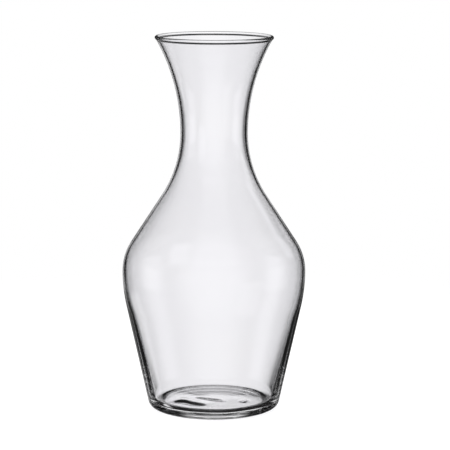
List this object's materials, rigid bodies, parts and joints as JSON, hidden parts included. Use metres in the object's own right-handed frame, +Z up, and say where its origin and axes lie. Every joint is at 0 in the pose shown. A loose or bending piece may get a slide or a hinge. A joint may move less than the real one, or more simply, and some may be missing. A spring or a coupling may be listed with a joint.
{
  "type": "water carafe",
  "caption": "Clear blown-glass table carafe with a flared lip, a narrow neck, a steep shoulder and a tapering body on a thick flat base, for serving water or wine.",
  "frame": {"origin": "centre of the ring that the carafe stands on, at table height", "axes": "+Z up along the axis of the carafe, out of the mouth; +X and +Y are any two level directions, because the carafe is round"},
  "size_m": [0.1198, 0.1198, 0.245],
  "materials": {
    "clear_glass": "fire-polished clear soda-lime glass"
  },
  "bodies": {
    "root": {"carafe": "clear_glass"}
  },
  "joints": []
}
